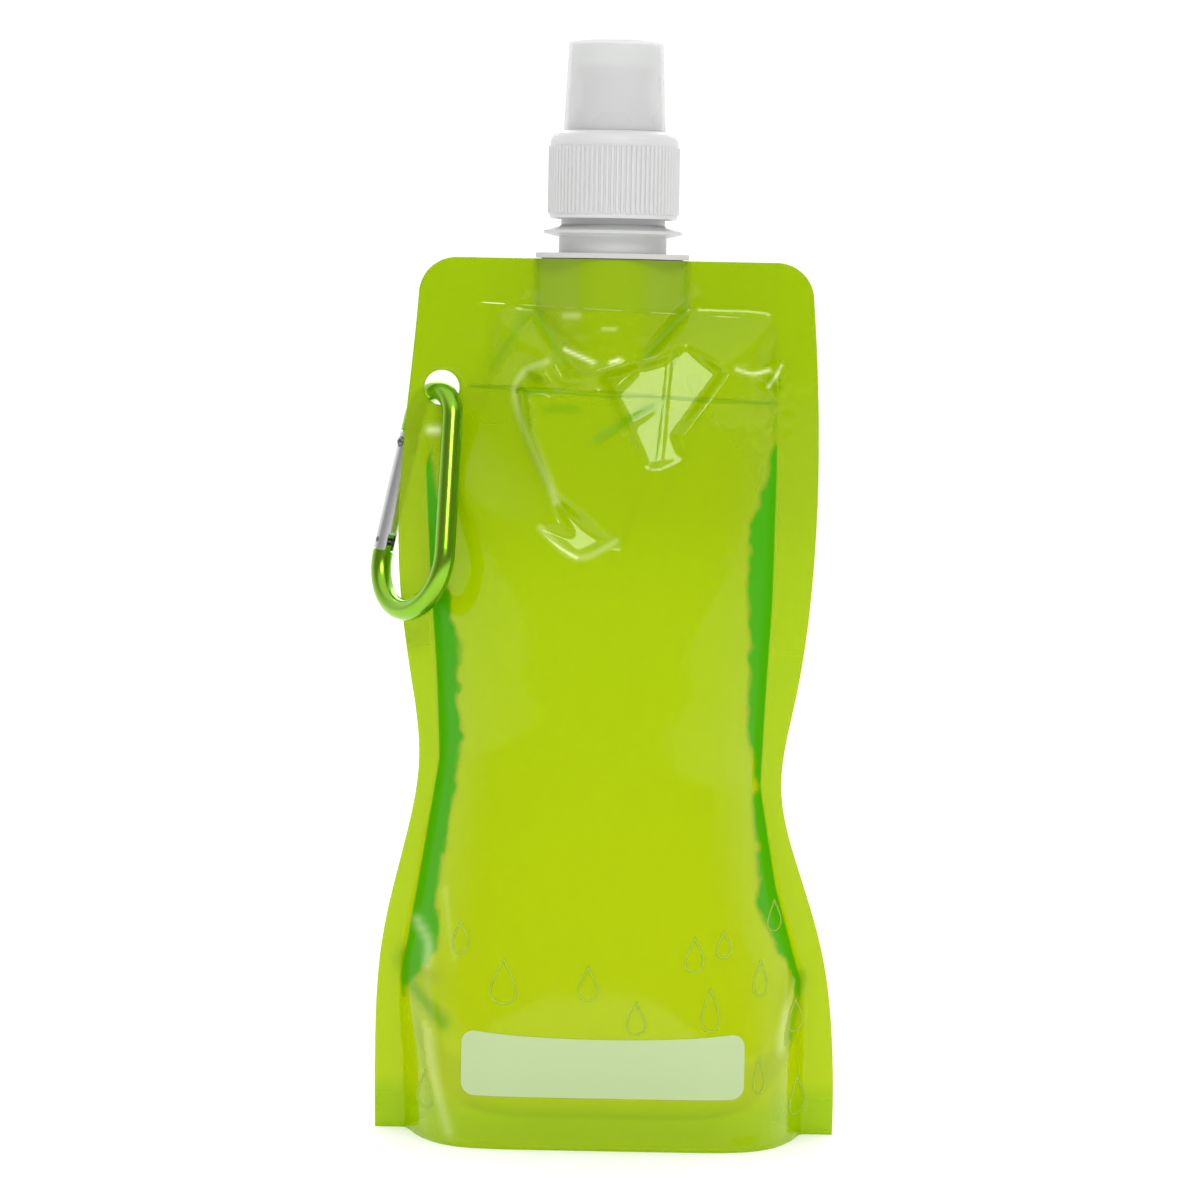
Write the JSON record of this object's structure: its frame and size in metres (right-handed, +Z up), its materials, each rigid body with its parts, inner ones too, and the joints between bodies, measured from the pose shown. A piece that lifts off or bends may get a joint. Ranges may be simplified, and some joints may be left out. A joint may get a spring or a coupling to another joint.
{
  "type": "folding water bottle",
  "caption": "Soft stand-up film pouch bottle with welded spout, ribbed screw cap, push-pull drinking spout, dust cover and hanging carabiner.",
  "frame": {"origin": "on the surface that the bottle stands on, under the spout's axis, which is the middle of the base", "axes": "+Z up along the spout's axis, front film facing -Y, hole and carabiner on the -X side"},
  "size_m": [0.1143, 0.0588, 0.2626],
  "materials": {
    "film": "glossy translucent lime green laminate",
    "fitment_plastic": "natural translucent polyethylene",
    "silicone": "soft clear silicone",
    "cap_plastic": "natural translucent polypropylene, satin",
    "spout_plastic": "white polyethylene, satin",
    "cover_plastic": "frosted clear polypropylene",
    "anodised_aluminium": "bright green anodised, glossy",
    "plain_aluminium": "satin silver",
    "steel": "plain steel"
  },
  "bodies": {
    "pouch": {"front_panel": "film", "back_panel": "film", "gusset_panel": "film"},
    "upper_pouch": {"spout_fitment": "fitment_plastic"},
    "cap_seal": {"cap_seal_ring": "silicone"},
    "screw_cap": {"screw_cap": "cap_plastic"},
    "pull_up_spout": {"pull_up_spout": "spout_plastic"},
    "dust_cover": {"dust_cover": "cover_plastic"},
    "carabiner": {"carabiner_body": "anodised_aluminium"},
    "gate": {"carabiner_gate": "plain_aluminium", "gate_pivot_rivet": "steel", "gate_latch_pin": "steel", "gate_spring": "steel"},
    "gate_plunger": {"gate_plunger": "steel"}
  },
  "joints": [
    {"name": "waist_fold", "type": "hinge", "parent": "pouch", "child": "upper_pouch", "pos_m": [0, 0, 0.088], "axis": [1, 0, 0], "range_deg": [-60, 60], "stiffness_Nm_per_rad": 0.5, "deforming": ["front_panel", "back_panel"]},
    {"name": "cap_lift", "type": "slide", "parent": "upper_pouch", "child": "cap_seal", "axis": [0, 0, 1], "range_m": [0, 0.006]},
    {"name": "cap_turn", "type": "hinge", "parent": "cap_seal", "child": "screw_cap", "pos_m": [0, 0, 0.23], "axis": [0, 0, 1], "range_deg": [0, 541]},
    {"name": "spout_pull", "type": "slide", "parent": "screw_cap", "child": "pull_up_spout", "axis": [0, 0, 1], "range_m": [0, 0.0045]},
    {"name": "cover_lift", "type": "slide", "parent": "screw_cap", "child": "dust_cover", "axis": [0, 0, 1], "range_m": [0, 0.03]},
    {"name": "carabiner_swing", "type": "hinge", "parent": "upper_pouch", "child": "carabiner", "pos_m": [-0.0403, 0, 0.1792], "axis": [0, 1, 0], "range_deg": [0, 120]},
    {"name": "gate_hinge", "type": "hinge", "parent": "carabiner", "child": "gate", "pos_m": [-0.04836, 0.00595, 0.16542], "axis": [-0.7749, -0.6018, 0.1932], "range_deg": [0, 36], "stiffness_Nm_per_rad": 0.02, "springref_deg": -14.32},
    {"name": "plunger_slide", "type": "slide", "parent": "gate", "child": "gate_plunger", "axis": [-0.2093, -0.044, -0.9768], "range_m": [0, 0.0005], "deforming": ["gate_spring"]}
  ],
  "couplings": [
    {"joint": "cap_turn", "follows": "cap_lift", "rad_per_m": 1570.8},
    {"joint": "plunger_slide", "follows": "gate_hinge", "m_per_rad": 0.00075}
  ]
}
